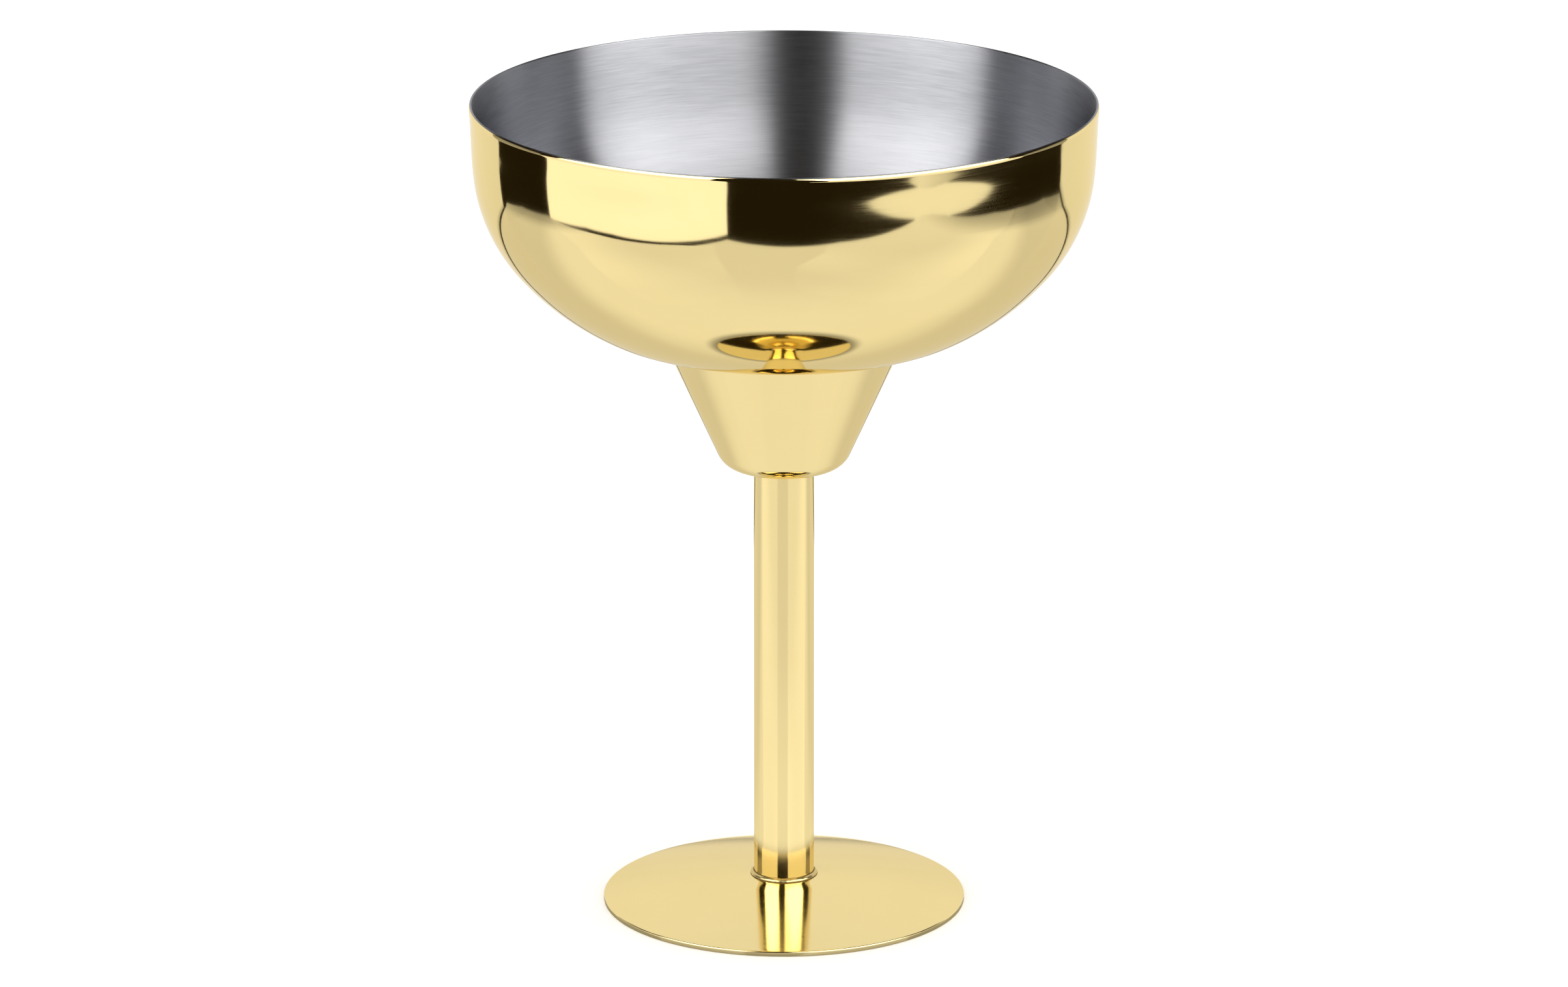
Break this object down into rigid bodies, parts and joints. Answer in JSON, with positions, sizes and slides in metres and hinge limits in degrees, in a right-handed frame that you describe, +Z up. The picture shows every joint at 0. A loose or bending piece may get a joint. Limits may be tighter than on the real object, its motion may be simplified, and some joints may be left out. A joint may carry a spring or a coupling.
{
  "type": "margarita glass",
  "caption": "Gold-coated steel margarita cup: a wide round bowl with a short straight rim and a tapered well below it, on a slim tube stem and a thin domed disc foot.",
  "frame": {"origin": "centre of the foot, on the surface that the cup stands on", "axes": "+Z up along the cup's axis, from the foot to the rim; +X and +Y lie across it, and the cup is the same all round"},
  "size_m": [0.113, 0.113, 0.1504],
  "materials": {
    "gold_mirror": "polished steel with a thin gold-coloured coat",
    "gold_bead": "weld bead under the same gold-coloured coat, brushed but not polished out",
    "bare_steel": "uncoated inside of the bowl and the well, brushed round the axis"
  },
  "bodies": {
    "root": {"bowl_shell": "gold_mirror", "bowl_seam_weld": "gold_mirror", "well_cup": "gold_mirror", "stem_top_weld": "gold_bead", "stem_tube": "gold_mirror", "foot_weld": "gold_bead", "foot_plate": "gold_mirror"}
  },
  "joints": []
}
